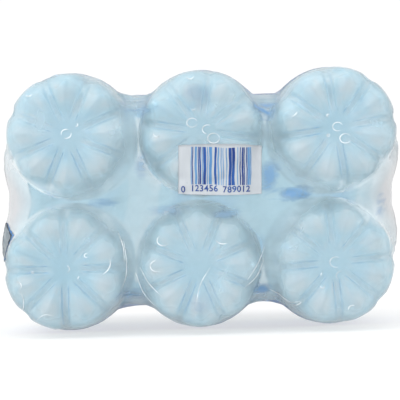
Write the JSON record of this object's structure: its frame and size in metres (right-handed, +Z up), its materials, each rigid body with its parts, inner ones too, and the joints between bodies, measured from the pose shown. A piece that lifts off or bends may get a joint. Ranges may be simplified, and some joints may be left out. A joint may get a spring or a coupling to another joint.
{
  "type": "shrink-wrapped pack of water bottles",
  "caption": "Clear water bottles held together in two rows by clear shrink film, lying on its long side with the moulded bases facing front and a bar code panel on the film.",
  "frame": {"origin": "on the ground under the middle of the pack's bounding box, the pack lying on its long side", "axes": "+Y along the bottles from the bases to the caps, so the bases face -Y; +X along the rows of three; +Z up from one row to the other"},
  "size_m": [0.2058, 0.2152, 0.1357],
  "materials": {
    "bottle_plastic": "clear pale blue PET, moulded, glossy",
    "water": "clear water",
    "cap_plastic": "blue moulded screw cap, satin",
    "shrink_film": "clear shrink film, slightly milky, wrinkled",
    "white_print": "white ink on film, semi matt"
  },
  "bodies": {
    "root": {"bottle_1": "bottle_plastic", "bottle_2": "bottle_plastic", "bottle_3": "bottle_plastic", "bottle_4": "bottle_plastic", "bottle_5": "bottle_plastic", "bottle_6": "bottle_plastic", "water_1": "water", "water_2": "water", "water_3": "water", "water_4": "water", "water_5": "water", "water_6": "water", "cap_1": "cap_plastic", "cap_2": "cap_plastic", "cap_3": "cap_plastic", "cap_4": "cap_plastic", "cap_5": "cap_plastic", "cap_6": "cap_plastic", "film": "shrink_film", "barcode_panel": "white_print"}
  },
  "joints": []
}
